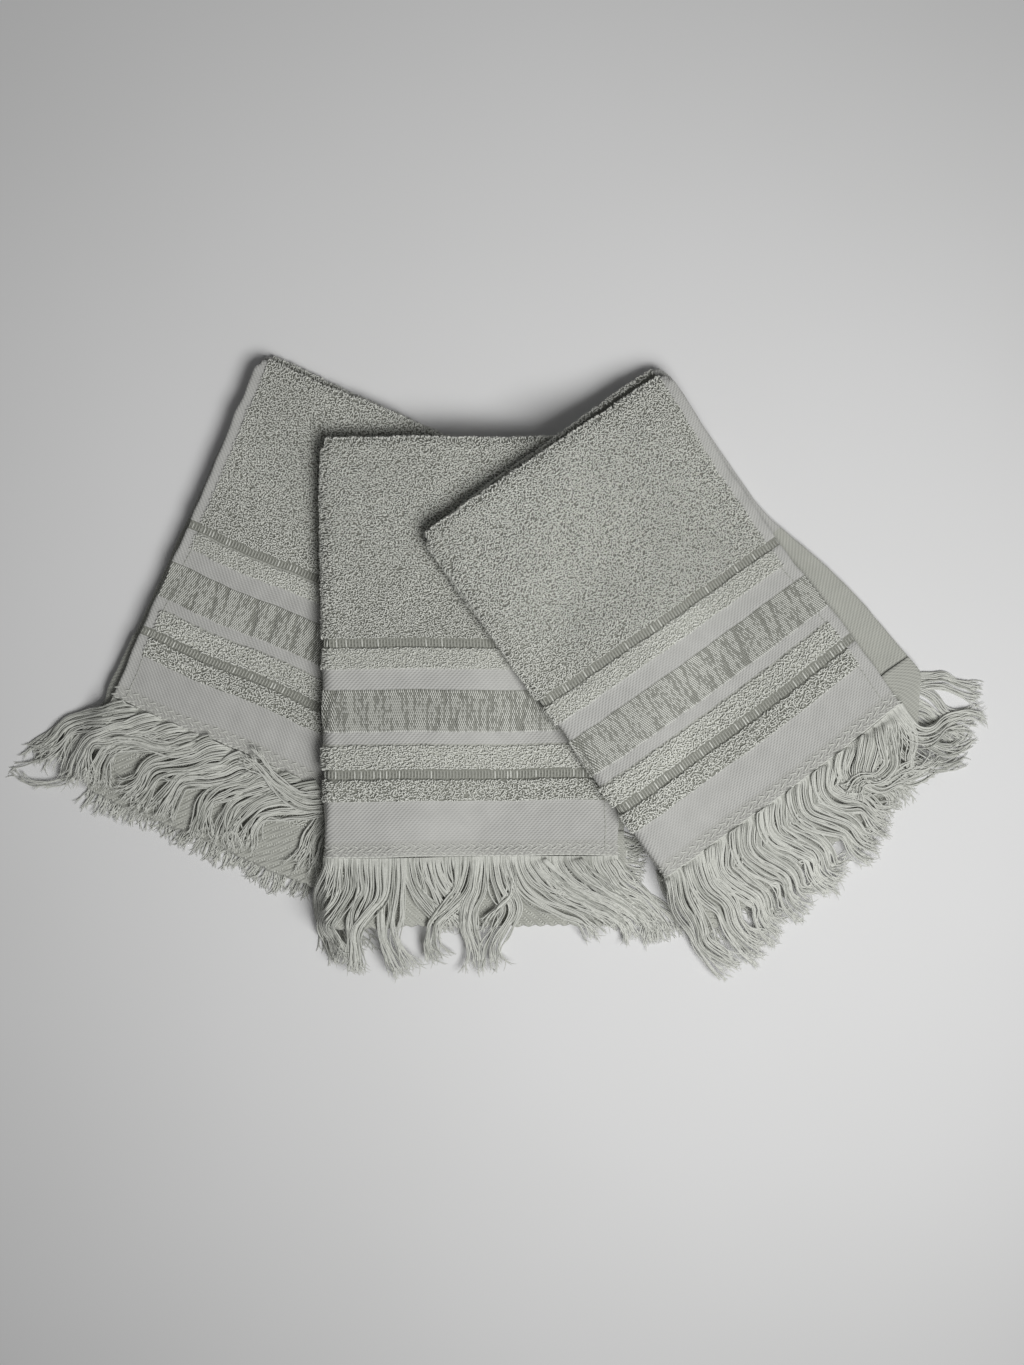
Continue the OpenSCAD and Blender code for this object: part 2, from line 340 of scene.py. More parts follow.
def spread_aside(towel, a, v, leaf):
    """How far the cloth has shifted toward the selvedge side: it sags in, then both leaves fan out."""
    near_selvedge = np.clip(a / towel.fold_w, 0, 1) ** 2
    sag = SELVEDGE_BOW[towel.name] * np.sin(np.pi * np.clip(v / towel.front_l, 0, 1))
    full = np.where(leaf < 0, LOWER_FAN[towel.name], UPPER_FAN[towel.name])
    return near_selvedge * (full * smooth((v - FAN_FROM) / FAN_OVER) - sag)


def drawn_up(towel, a, v):
    """How far the open corner of the hem has moved back toward the fold, so the bands curve."""
    lower = smooth((v - LIFT_FROM) / LIFT_OVER)
    return HEM_LIFT[towel.name] * np.clip(a / towel.fold_w, 0, 1) ** 3 * lower


def folded(towel, w, t, out=0.0):
    """Place in the set of a spot w from the upper selvedge and t from the hem, raised out of the cloth."""
    w, t, out = np.broadcast_arrays(np.asarray(w, float), np.asarray(t, float), np.asarray(out, float))
    v, level, normal_v, normal_level = along_pack(towel, t)
    drop = EDGE_DROP * (1 - smooth(v / EDGE_SOFT)) * (normal_level > 0.5) * (t < towel.front_l)
    v = v + out * normal_v
    level = level + out * normal_level - drop
    outer_r = towel.stack_t / 2
    straight = towel.fold_w - outer_r
    turn = np.pi / 2 + np.pi * np.clip((w - straight) / (FLAT_W - 2 * straight), 0, 1)
    leaf = np.where(w < straight, 1, np.where(w > FLAT_W - straight, -1, np.sin(turn)))
    on_roll = (w >= straight) & (w <= FLAT_W - straight)
    on_leaf = np.where(w < straight, towel.fold_w - w, w - FLAT_W + towel.fold_w)
    a = np.where(on_roll, outer_r + level * np.cos(turn), on_leaf)
    a, v = rounded_corner(a, v, towel)
    seed = order.index(towel.name) * 10
    own_side = leaf * LEAF_APART
    for k, (high, long) in enumerate(SIDE_RIPPLES):
        a = a + high * waves(own_side, v, seed + 1 + k, long)
    for k, (high, long) in enumerate(END_RIPPLES):
        v = v + high * waves(a, own_side, seed + 3 + k, long)
    bend = towel.slant * leaf
    past_hem = np.maximum(0, v - towel.front_l)
    tail = TAIL_TAPER[towel.name] * past_hem * np.clip(a / towel.fold_w, 0, 1) ** 3
    a = a + spread_aside(towel, a, v, leaf) - tail
    v = v - drawn_up(towel, a, v)
    x, y = towel.to_set(a - bend * v * a / towel.fold_w, v + bend * a)
    uneven = SAG * waves(a, v, seed + 5, SAG_L) * np.maximum(leaf, 0)
    z = height_at(towel.under, x, y) + towel.stack_t / 2 + np.sign(leaf) * np.where(
        on_roll, level * np.abs(np.sin(turn)), level
    )
    return np.stack([x, y, z + uneven], axis=-1)


spot = folded(towels["middle"], FLAT_W / 4, 100.0)
print("a spot half-way down the middle towel lies at", spot.round(1))

# %% [markdown]
# ## Building meshes
# Cloth and yarn come as large grids of points, so one function turns points and faces into a
# Blender mesh, and one sweeps a small cross-section along many paths at once. A yarn here is a
# tube of five sides: round enough at its size, and light enough to have thousands.


# %% Turn points and paths into meshes
def quads_of(rows, columns):
    """Faces of a grid of points."""
    i, j = np.meshgrid(np.arange(rows - 1), np.arange(columns - 1), indexing="ij")
    first = (i * columns + j).ravel()
    return np.stack([first, first + 1, first + columns + 1, first + columns], axis=1)


def mesh_object(name, towel, points, faces, material, uv=None, slots=None):
    """A piece from points in millimetres and four-sided faces; it rides on the towel's body."""
    mesh = bpy.data.meshes.new(name)
    mesh.vertices.add(len(points))
    mesh.vertices.foreach_set("co", (np.asarray(points) * MM).ravel().astype(np.float32))
    mesh.loops.add(faces.size)
    mesh.loops.foreach_set("vertex_index", faces.ravel().astype(np.int32))
    mesh.polygons.add(len(faces))
    mesh.polygons.foreach_set("loop_start", np.arange(0, faces.size, 4, dtype=np.int32))
    mesh.polygons.foreach_set("use_smooth", np.ones(len(faces), bool))
    if uv is not None:
        layer = mesh.uv_layers.new(name="flat")
        layer.data.foreach_set("uv", uv[faces.ravel()].astype(np.float32).ravel())
    materials = material if isinstance(material, list) else [material]
    for kind in materials:
        mesh.materials.append(kind)
    if slots is not None:
        mesh.polygons.foreach_set("material_index", slots.astype(np.int32))
    mesh.update(calc_edges=True)
    piece = bpy.data.objects.new(name, mesh)
    bpy.context.scene.collection.objects.link(piece)
    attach(piece, towel.body)
    return piece


def tubes(paths, radii, sides=5, across=None):
    """Tubes, open at their ends, along paths of yarns x steps x 3. Returns points and faces."""
    yarns, steps = paths.shape[:2]
    ahead = unit(np.gradient(paths, axis=1))
    if across is None:
        across = np.cross(ahead, np.array([0.0, 0.0, 1.0]))
        across = np.where(np.linalg.norm(across, axis=-1, keepdims=True) < 1e-3, [1.0, 0, 0], across)
    across = unit(across + np.zeros_like(ahead))
    up = unit(np.cross(across, ahead))
    angle = np.arange(sides) * 2 * np.pi / sides
    ring = across[:, :, None] * np.cos(angle)[:, None] + up[:, :, None] * np.sin(angle)[:, None]
    points = paths[:, :, None] + ring * np.broadcast_to(radii, (yarns, steps))[:, :, None, None]
    step, side = np.meshgrid(np.arange(steps - 1), np.arange(sides), indexing="ij")
    first = (step * sides + side).ravel()
    beside = (step * sides + (side + 1) % sides).ravel()
    wall = np.stack([first, first + sides, beside + sides, beside], axis=1)
    faces = (wall[None] + (np.arange(yarns) * steps * sides)[:, None, None]).reshape(-1, 4)
    return points.reshape(-1, 3), faces


# %% [markdown]
# ## Materials
# The towels are ring-spun cotton, yarn-dyed a pale sage grey. Cotton is matt: its fibres scatter
# light in every direction, with only a faint bloom where they are seen edge on, so roughness is
# high and sheen low. Most of the colour change comes from form, since deep pile and the gaps of a
# coarse weave shade themselves; the ground under the pile and between floats, and some float yarns,
# also carry painted shade. On top of that, dye takes a little unevenly along a yarn.


# %% Material helpers
def linear(hex_colour):
    """An sRGB colour such as "#a0a29c" as the linear numbers that shaders use."""
    parts = [int(hex_colour[i : i + 2], 16) / 255 for i in (1, 3, 5)]
    return [c / 12.92 if c <= 0.04045 else ((c + 0.055) / 1.055) ** 2.4 for c in parts] + [1.0]


def add(tree, kind, values=(), links=(), **settings):
    """Adds a node: its settings, the values of its inputs, and what feeds them."""
    node = tree.nodes.new("ShaderNode" + kind)
    for name, setting in settings.items():
        setattr(node, name, setting)
    for socket, number in dict(values).items():
        node.inputs[socket].default_value = number
    for socket, source in dict(links).items():
        tree.links.new(source, node.inputs[socket])
    return node


def new_material(name, roughness, sheen):
    """A matt cotton surface. Returns the material, its node tree and its shader."""
    material = bpy.data.materials.new(name)
    material.use_nodes = True
    tree = material.node_tree
    shader = tree.nodes["Principled BSDF"]
    shader.inputs["Roughness"].default_value = roughness
    shader.inputs["IOR"].default_value = 1.53  # cellulose
    shader.inputs["Specular IOR Level"].default_value = 0.25
    shader.inputs["Sheen Weight"].default_value = sheen
    shader.inputs["Sheen Roughness"].default_value = 0.5
    return material, tree, shader


def two_tones(tree, factor, low, high):
    """A colour between two others, by a factor from 0 to 1."""
    mix = add(tree, "Mix", links={"Factor": factor}, data_type="RGBA")
    mix.inputs["A"].default_value = linear(low)
    mix.inputs["B"].default_value = linear(high)
    return mix.outputs["Result"]


# %% Pile, fringe and thread
YARN_SHEEN = 0.15


def yarn_material(name, low, high, patch_mm, roughness=0.9):
    """Yarn whose dye varies between two tones over patches of that size."""
    material, tree, shader = new_material(name, roughness, YARN_SHEEN)
    place = add(tree, "TexCoord").outputs["Object"]
    patches = add(tree, "TexNoise", {"Scale": 1 / (patch_mm * MM), "Detail": 3.0}, {"Vector": place})
    broad = add(tree, "TexNoise", {"Scale": 1 / (60 * MM), "Detail": 1.0}, {"Vector": place})
    both = add(tree, "Math", links={0: patches.outputs["Fac"], 1: broad.outputs["Fac"]}, operation="ADD")
    spread = add(tree, "MapRange", {1: 0.7, 2: 1.3}, {0: both.outputs["Value"]})
    tree.links.new(two_tones(tree, spread.outputs["Result"], low, high), shader.inputs["Base Color"])
    return material


pile_yarn = yarn_material("pile_yarn", "#d0d1ca", "#e2e3dc", 2.0)
float_yarn = yarn_material("float_yarn", "#cccdc6", "#dcddd6", 3.0)
# painted shade: this darker float yarn stands for the shade in the checked band's streaks and in the sunken
# ribbed stripes
painted_shade_float_yarn = yarn_material("painted_shade_float_yarn", "#9fa098", "#b0b1a9", 3.0)
fringe_yarn = yarn_material("fringe_yarn", "#c2c3bc", "#d6d7d0", 1.2)
shaded_yarn = yarn_material("shaded_yarn", "#a4a69e", "#b9bab3", 1.2)
sewing_thread = yarn_material("sewing_thread", "#c2c3bc", "#d0d1ca", 1.5, roughness=0.7)

# %% [markdown]
# ## The border, band by band
# From the hem the border has a row of dashes, a plain hem, three bands of terry with two sunken
# ribbed stripes between and beside them, and a wide checked band between two plain ones. A loom
# makes it by dropping the pile and changing the weave for a while. Both ends are woven alike.

# %% The border's bands
BORDER = [  # (weave, width), from the hem inward
    ("dashes", 8.0),
    ("plain", 20.0),
    ("terry", 11.0),
    ("ribs", 5.0),
    ("high terry", 12.5),
    ("plain", 6.5),
    ("check", 20.5),
    ("plain", 10.5),
    ("low terry", 10.5),
    ("ribs", 5.0),
]
PILE_FORM = {  # loops of each pile: (height, yarn thickness, loop length)
    "terry": (1.1, 0.66, 1.35),
    "low terry": (1.0, 0.66, 1.3),
    "high terry": (1.4, 0.7, 1.4),
}
BORDER_SCALE = {"left": 0.89, "middle": 1.0, "right": 1.0}  # the left towel's is woven closer


def bands(towel):
    """(weave, start, end) along one end of the towel, measured from its hem."""
    start, found = 0.0, []
    for weave, width in BORDER:
        end = start + width * BORDER_SCALE[towel.name]
        found.append((weave, start, end))
        start = end
    return found + [("terry", start, FLAT_L / 2)]


print("the middle towel's border is", round(bands(towels["middle"])[-1][1], 1), "mm deep")

# %% [markdown]
# ## The woven sheet
# Under the pile the ground is a plain close weave about a millimetre thick. It is one closed
# sheet, fine where it shows and coarse where it is hidden. Sewn hems are double, so they are
# thicker. The checked band is woven looser than the terry beside it and puckers into soft
# upright folds, and the hem ripples a little, as cotton does after washing.

# %% Relief of the ground
SELVEDGE_W = 5.5  # the strip along a selvedge that has no pile
END_HEM_W = 3.0
TAIL_RIB_L = 24.0  # wrong side of the border by the bottom fold: slanting ribs
RIB_PITCH = 4.3
RIB_SLANT = 0.72  # how far a rib climbs along the towel for each step across it
TAIL_RELIEF = 0.55
PUCKER, PUCKER_L = 0.6, 12  # (height, length) of the checked band's upright folds
SLACK_DEPTH = 0.8  # slack yarns lie this much lower
PLAIN_RIPPLE, PLAIN_RIPPLE_L = 0.22, 15
STRIPE_DEPTH = 0.5  # the ribbed stripes are sunk by this much
TERRY_RISE, TERRY_ROLL, TERRY_ROLL_L = 0.3, 0.25, 16
UPPER_SHARE = 0.53  # of the flat width, from the upper selvedge, has relief


def in_band(t_in, start, end, soft=0.8):
    """1 inside a band, 0 outside it."""
    return smooth((t_in - start) / soft + 0.5) * smooth((end - t_in) / soft + 0.5)


def tail_reach(towel, t):
    """How far t is from the bottom fold, on the back panel."""
    v = along_pack(towel, t)[0]
    return np.where((t > towel.front_l + 5) & (t < FLAT_L - towel.turn_in + 3), towel.fold_l - v, 999.0)


def slack_and_shaded_streaks(w, t):
    """0 to 1: where the checked band's yarns lie slack and low, in upright streaks a few millimetres wide;
    floats there are also painted darker as shade.
    """
    return smooth((waves(w + 0.2 * t, t * 0.07, 47, 6, 6) + 0.4 * waves(w, t * 0.1, 48, 3.2) - 0.08) / 0.55)


def slanting(w, t):
    """The wave of the slanting ribs, from -1 to 1."""
    return np.sin((w * RIB_SLANT + t) * 2 * np.pi / RIB_PITCH)


def relief(towel, w, t):
    """How far the ground stands out of its even surface."""
    seed = 100 + order.index(towel.name) * 10
    height = 0.0 * w * t
    for weave, start, end in bands(towel):
        inside = in_band(t, start, end)
        if weave == "check":
            folds = PUCKER * waves(w, t * 0.22, seed, PUCKER_L)
            height = height + inside * (folds - SLACK_DEPTH * slack_and_shaded_streaks(w, t))
        if weave == "plain":
            height = height + inside * PLAIN_RIPPLE * waves(w, t * 0.2, seed + 1, PLAIN_RIPPLE_L)
        if weave == "ribs":
            height = height - STRIPE_DEPTH * inside
        if "terry" in weave:
            roll = TERRY_ROLL * waves(w, t, seed + 2, TERRY_ROLL_L)
            height = height + inside * (TERRY_RISE + roll)
    height = height - TAIL_RELIEF * slanting(w, t) * smooth((TAIL_RIB_L - tail_reach(towel, t)) / 3)
    return height * smooth((FLAT_W * UPPER_SHARE - w) / 6)  # the lower leaf is pressed flat


HEM_THICKER = 0.55  # at its hems the cloth is double and is this share thicker
EDGE_ROUND = 0.9  # its very edge is rounded over this width
EDGE_LEAST = 0.25  # down to this share of its thickness


def ground_half(w, t):
    """Half the ground's thickness: more at the hems, thin and round at the cloth's own edges."""
    w_in, t_in = np.minimum(w, FLAT_W - w), np.minimum(t, FLAT_L - t)
    hem = np.maximum(1 - smooth((w_in - 1.5) / 2.5), 1 - smooth((t_in - 1.8) / 1.5))
    half = GROUND_T / 2 * (1 + HEM_THICKER * hem)
    edge = np.clip(np.minimum(w_in, t_in) / EDGE_ROUND, 0, 1)
    return half * (EDGE_LEAST + (1 - EDGE_LEAST) * np.sqrt(1 - (1 - edge) ** 2))


# %% Make the sheets
def steps(start, end, size):
    """Even grid lines from start to end, at most this far apart."""
    return np.linspace(start, end, max(2, int(np.ceil((end - start) / size)) + 1))


def sheet_lines(towel):
    """The flat cloth's grid lines: (across it, along it)."""
    straight = towel.fold_w - towel.stack_t / 2
    edge = np.array([0, 0.25, 0.9])
    w = [edge, steps(1.8, straight, 1.25), steps(straight, FLAT_W - straight, 1.1)[1:]]
    w += [steps(FLAT_W - straight, FLAT_W - 1.8, 5.0)[1:], FLAT_W - edge[::-1]]
    tail = 2 * towel.front_l
    end = towel.front_l + towel.fold_l
    t = [edge, steps(1.8, towel.front_l - 2, 1.25), steps(towel.front_l - 2, towel.front_l + 3, 0.7)[1:]]
    t += [steps(towel.front_l + 3, tail - 6, 6.0)[1:], steps(tail - 6, end - 3, 1.2)[1:]]
    t += [steps(end - 3, end + 3, 0.7)[1:], steps(end + 3, FLAT_L - 1.8, 6.0)[1:], FLAT_L - edge[::-1]]
    return np.concatenate(w), np.concatenate(t)


def cloth_sheet(towel, material):
    """The whole cloth as one closed sheet, standing for its CAD node."""
    w_lines, t_lines = sheet_lines(towel)
    w, t = np.meshgrid(w_lines, t_lines, indexing="ij")
    middle, half = relief(towel, w, t), ground_half(w, t)
    outer = folded(towel, w, t, middle + half).reshape(-1, 3)
    inner = folded(towel, w, t, middle - half).reshape(-1, 3)
    rows, columns = w.shape
    skin = quads_of(rows, columns)
    count = rows * columns
    index = np.arange(count).reshape(rows, columns)
    rim = np.concatenate([index[:, 0], index[-1, 1:], index[-2::-1, -1], index[0, -2::-1]])
    side = np.stack([rim[:-1], rim[1:], rim[1:] + count, rim[:-1] + count], axis=1)
    faces = np.concatenate([skin, skin[:, ::-1] + count, side[:, ::-1]])
    uv = np.stack([w.ravel(), t.ravel()], axis=1)
    sheet = mesh_object(
        f"{towel.name}_towel_sheet",
        towel,
        np.concatenate([outer, inner]),
        faces,
        material,
        np.concatenate([uv, uv]),
    )
    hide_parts(f"{towel.name}_towel_cloth")
    return sheet


# %% [markdown]
# ## The ground's own colour
# Seen from a hand's length away the plain bands show a fine slanting twill. The ground under the
# loops, between the checked band's floats and in the sunken bands is painted a tone darker as
# painted shade. The twill's lines are drawn 1.5 mm apart so that they show at this size; real ones
# are likely finer. The weave follows the flat cloth, so it turns with the towel and bends over its folds.

# %% Cloth material
# painted shade: the terry, check, ribs and dashes grounds are darker than plain to stand for the shade
# under the pile and between raised yarns
TONES = {
    "plain": "#b7b7b3",
    "dashes": "#b2b2ad",
    "check": "#7a7b73",
    "ribs": "#85867e",
    "terry": "#84857d",
    "low terry": "#abaca4",
    "high terry": "#b0b1a9",
    "reverse": "#aeafa7",
}
TWILL_MM = 2.1  # across the cloth or along it, which is 1.5 mm square to the slanting lines
BORDER_SPAN = 116.0  # a ramp holds 256 steps: over this much cloth each band's edge is sharp


def stripe_wave(tree, across, along, per_across, per_along):
    """Sine stripes over the flat cloth, so many to the millimetre each way."""
    first = add(tree, "Math", {1: per_across * 2 * np.pi}, {0: across}, operation="MULTIPLY")
    both = add(
        tree,
        "Math",
        {1: per_along * 2 * np.pi},
        {0: along, 2: first.outputs["Value"]},
        operation="MULTIPLY_ADD",
    )
    return add(tree, "Math", links={0: both.outputs["Value"]}, operation="SINE").outputs["Value"]


def by_band(tree, share, towel, tones):
    """One tone for each band, read along the flat cloth."""
    ramp = add(tree, "ValToRGB", links={"Fac": share})
    ramp.color_ramp.interpolation = "CONSTANT"
    marks = ramp.color_ramp.elements
    for weave, start, _ in bands(towel):
        mark = marks[0] if start == 0 else marks.new(start / BORDER_SPAN)
        mark.color = linear(tones[weave])
    marks[-1].color = linear(tones["terry"])
    return ramp.outputs["Color"]


def cloth_material(towel):
    """The woven ground: its bands' tones with painted shade under the pile and between floats, its twill
    and weft, and slight uneven wear.
    """
    material, tree, shader = new_material(f"{towel.name}_towel_ground", 0.92, 0.12)
    flat = add(tree, "UVMap", uv_map="flat")
    split = add(tree, "SeparateXYZ", links={"Vector": flat.outputs["UV"]})
    across, along = split.outputs["X"], split.outputs["Y"]
    w_in = add(tree, "Math", {1: FLAT_W / 2}, {0: across}, operation="PINGPONG")
    share = add(tree, "Math", {1: BORDER_SPAN}, {0: along}, operation="DIVIDE").outputs["Value"]
    tone = by_band(tree, share, towel, TONES)
    bare = by_band(tree, share, towel, {**TONES, **dict.fromkeys(PILE_FORM, TONES["plain"])})
    on_pile = add(tree, "Math", {1: SELVEDGE_W}, {0: w_in.outputs["Value"]}, operation="GREATER_THAN")
    band = add(
        tree, "Mix", links={"Factor": on_pile.outputs["Value"], "A": bare, "B": tone}, data_type="RGBA"
    )
    back = add(tree, "Math", {1: towel.front_l * 1.5}, {0: along}, operation="GREATER_THAN")
    ground = add(
        tree,
        "Mix",
        {"B": linear(TONES["reverse"])},
        {"Factor": back.outputs["Value"], "A": band.outputs["Result"]},
        data_type="RGBA",
    )
    twill = stripe_wave(tree, across, along, 1 / TWILL_MM, 1 / TWILL_MM)
    weft = stripe_wave(tree, across, along, 0, 1 / 1.1)
    weave = add(tree, "Math", {1: 1.6}, {0: twill, 2: weft}, operation="MULTIPLY_ADD")
    patches = add(tree, "TexNoise", {"Scale": 1 / 9.0, "Detail": 4.0}, {"Vector": flat.outputs["UV"]})
    shade = add(tree, "MapRange", {1: -2.6, 2: 2.6, 3: 0.86, 4: 1.1}, {0: weave.outputs["Value"]})
    worn = add(tree, "MapRange", {1: 0.3, 2: 0.7, 3: 0.95, 4: 1.05}, {0: patches.outputs["Fac"]})
    both = add(
        tree, "Math", links={0: shade.outputs["Result"], 1: worn.outputs["Result"]}, operation="MULTIPLY"
    )
    colour = add(tree, "VectorMath", links={0: ground.outputs["Result"]}, operation="SCALE")
    tree.links.new(both.outputs["Value"], colour.inputs["Scale"])
    tree.links.new(colour.outputs["Vector"], shader.inputs["Base Color"])
    bump = add(
        tree,
        "Bump",
        {"Strength": 0.5, "Distance": 0.12 * MM},
        {"Height": weave.outputs["Value"]},
    )
    tree.links.new(bump.outputs["Normal"], shader.inputs["Normal"])
    return material


for towel in towels.values():
    cloth_sheet(towel, cloth_material(towel))

# %% [markdown]
# ## Loops of pile
# Terry gets its look from uncut loops of soft yarn that stand up from the ground and fall over
# any way they like. From above each reads as a short curl with a dark gap beside it. A normal map
# can't shade itself like that, so every loop is made: an arch with its two feet in the ground,
# leaning at random. Loops stand in jittered rows and in clumps about 2 mm apart. Their yarn is
# drawn about 0.55 mm thick in the body and 0.65 to 0.7 mm in the border.


# %% Arched yarns
FOOT_DEPTH = 0.2  # an arch's feet are sunk this far into the ground
FOOT_THICK = 0.75  # a foot's thickness, as a share of the crown's


def arches(towel, w, t, turn, length, height, thick, lean=0.0, face=1, bends=4, sides=4):
    """Arches of yarn standing on the cloth at spots w, t. Returns points and faces."""
    u = np.linspace(-1, 1, bends + 1)
    rise = np.sqrt(1 - u * u)
    w, t, turn = (x[:, None] for x in np.broadcast_arrays(w, t, turn))
    half = np.broadcast_to(length, w[:, 0].shape)[:, None] / 2
    high = np.broadcast_to(height, w[:, 0].shape)[:, None]
    wide = np.broadcast_to(thick, w[:, 0].shape)[:, None]
    over = np.broadcast_to(lean, w[:, 0].shape)[:, None] * rise
    at_w = w + half * u * np.cos(turn) - over * np.sin(turn)
    at_t = t + half * u * np.sin(turn) + over * np.cos(turn)
    crown = (high - wide / 2 + FOOT_DEPTH) * rise
    out = face * (GROUND_T / 2 - FOOT_DEPTH + crown) + relief(towel, w, t)
    paths = folded(towel, at_w, at_t, out)
    paths[..., 2] = np.maximum(paths[..., 2], wide / 2)  # never under the floor
    chord = paths[:, -1] - paths[:, 0]
    up = paths[:, bends // 2] - (paths[:, 0] + paths[:, -1]) / 2
    across = np.cross(chord, up)[:, None, :]
    radii = wide / 2 * (FOOT_THICK + (1 - FOOT_THICK) * rise)
    return tubes(paths, radii, sides, across)


def joined(parts):
    """Several (points, faces) pairs as one."""
    start = np.cumsum([0] + [len(points) for points, _ in parts[:-1]])
    return (
        np.concatenate([points for points, _ in parts]),
        np.concatenate([faces + first for (_, faces), first in zip(parts, start)]),
    )


PITCH_JITTER = 0.38  # how far a loop strays along its row, in pitches
ROW_JITTER = 0.35  # and out of its row, in rows


def scattered(w_from, w_to, t_from, t_to, w_pitch, t_pitch):
    """Jittered rows of spots over a stretch of the flat cloth."""
    w, t = np.meshgrid(np.arange(w_from, w_to, w_pitch), np.arange(t_from, t_to, t_pitch))
    w = w + (np.arange(w.shape[0]) % 2 * w_pitch / 2)[:, None]
    w = w + rng.uniform(-1, 1, w.shape) * w_pitch * PITCH_JITTER
    t = t + rng.uniform(-1, 1, t.shape) * t_pitch * ROW_JITTER
    return w.ravel(), t.ravel()


ARCH_FACES = 16  # of one loop or float: four sides, four bends
LOOP_ROW = 1.05
LOOP_PITCH = 1.0
LOOP_FINE = 0.86  # the body's pile is finer than the border's
BAND_MOST = 40.0  # a stretch of terry longer than this belongs to the body
CLUMP_L = 2.0
CLUMP_RISE = 0.9  # how strongly a loop's height follows the clumps
CLUMP_GAP = -0.4  # loops fall out where the clumps, with some scatter, are lower than this
TURNED_SHARE = 0.2  # of the loops are turned to lie along the towel


def pile(towel, weave, w_from, w_to, t_from, t_to, face=1):
    """The loops of one stretch of pile."""
    high, thick, long = PILE_FORM[weave]
    fine = LOOP_FINE if weave == "terry" and t_to - t_from > BAND_MOST else 1.0
    w, t = scattered(w_from, w_to, t_from, t_to, LOOP_PITCH * fine, LOOP_ROW * fine)
    clump = waves(w, t, 40, CLUMP_L, 24)
    stands = clump + rng.normal(0, 0.25, len(w)) > CLUMP_GAP
    w, t, clump = w[stands], t[stands], clump[stands]
    count = len(w)
    turn = rng.normal(0, 0.75, count) + np.where(rng.random(count) < TURNED_SHARE, np.pi / 2, 0)
    return arches(
        towel,
        w,
        t,
        turn,
        long * fine * rng.uniform(0.75, 1.2, count),
        high * rng.uniform(0.85, 1.1, count) * (1 + CLUMP_RISE * clump),
        thick * fine * rng.uniform(0.85, 1.1, count),
        lean=rng.uniform(-0.4, 0.4, count),
        face=face,
    )


def towel_pile(towel):
    """The body's pile round the folds, and the pile of the border's bands."""
    straight = towel.fold_w - towel.stack_t / 2
    roll_w = FLAT_W - 2 * straight
    w_end = straight + roll_w * 0.62
    fold_t = towel.front_l + 2.6
    border = []
    for weave, start, end in bands(towel):
        if weave in PILE_FORM and end < FLAT_L / 2:
            border.append(pile(towel, weave, SELVEDGE_W, w_end, start + 0.7, end - 0.3))
    start = bands(towel)[-1][1]
    body = [pile(towel, "terry", SELVEDGE_W, w_end, start + 0.5, fold_t)]
    lower_fold = (FLAT_W - straight, FLAT_W - SELVEDGE_W, towel.front_l - 5, fold_t)
    body.append(pile(towel, "terry", *lower_fold))
    tail_end = towel.front_l + towel.fold_l
    tail_start = tail_end - (towel.fold_l - towel.front_l) - 2
    border.append(pile(towel, "terry", SELVEDGE_W, w_end, tail_start, tail_end - TAIL_RIB_L, face=-1))
    made = []
    for part, found in (("body_pile", body), ("border_pile", border)):
        points, faces = joined(found)
        piece = mesh_object(f"{towel.name}_towel_{part}", towel, points, faces, pile_yarn)
        made.append(piece)
        print(piece.name, len(faces) // ARCH_FACES, "loops")
    return made


extras = {name: towel_pile(towel) for name, towel in towels.items()}

# %% [markdown]
# ## Floats, ribs and dashes
# Where the loom drops the pile it plays with the ground instead. In the checked band short
# upright floats are set like bricks, 1 mm apart in rows about 1.35 mm apart, and some are painted
# darker as shade, mostly in uneven upright streaks. The sunken stripes are bundles of warp bound
# into upright ribs, most of them in the darker yarn as painted shade. By the hem short slanting
# floats make rows of dashes. All are low arches of yarn.

# %% Woven floats
CHECK_PITCH = 1.0
CHECK_ROW = 1.35
RIB_GAP = 1.6
DASH_PITCH = 4.9
DASH_ROW = 1.9
DOT_PITCH = 1.65
CHECK_FORM = (1.75, 0.7, 0.68)  # (length, height, thickness) of a float
DASH_FORM = (3.6, 0.6, 0.85)
DOT_FORM = (1.2, 0.6, 0.85)
RIB_H, RIB_T = 0.5, 0.9
# painted shade: this share of the ribs takes the darker float yarn, for the shade in the sunken stripe
SHADED_RIB_SHARE = 0.85  # of the ribs are the darker yarn
DASH_START = 2.0  # the first row of dashes, from the hem
DASH_TILT = 0.45
KNOTS_BELOW = -0.45  # knots sit where the wave of the slanting ribs is lower than this
THREAD_TONE = 2  # the floats' third material


def upper_span(towel):
    """The flat cloth's width that shows from above, round the fold."""
    straight = towel.fold_w - towel.stack_t / 2
    return 0.6, straight + (FLAT_W - 2 * straight) * 0.55


def brick_grid(w_from, w_to, t_from, t_to, w_pitch, t_pitch):
    """Even rows of spots, every second row moved by half a pitch."""
    w, t = np.meshgrid(np.arange(w_from, w_to, w_pitch), np.arange(t_from, t_to, t_pitch))
    w = w + (np.arange(w.shape[0]) % 2 * w_pitch / 2)[:, None]
    return w.ravel(), t.ravel()


def check_floats(towel, start, end):
    """Upright floats set like bricks, some painted darker as shade, mostly in upright streaks."""
    rows = round((end - start) / CHECK_ROW)
    row = (end - start - 1.1) / (rows - 1)
    w, t = brick_grid(*upper_span(towel), start + 0.5, end - 0.3, CHECK_PITCH, row)
    # painted shade: floats in these streaks take the darker yarn
    streak = 0.4 * slack_and_shaded_streaks(w, t) + 0.5 * waves(w, t * 0.04, 49, 1.9)
    dark = streak + rng.normal(0, 0.13, len(w)) > 0.13
    return arches(towel, w, t, np.pi / 2 - 0.2, *CHECK_FORM), dark


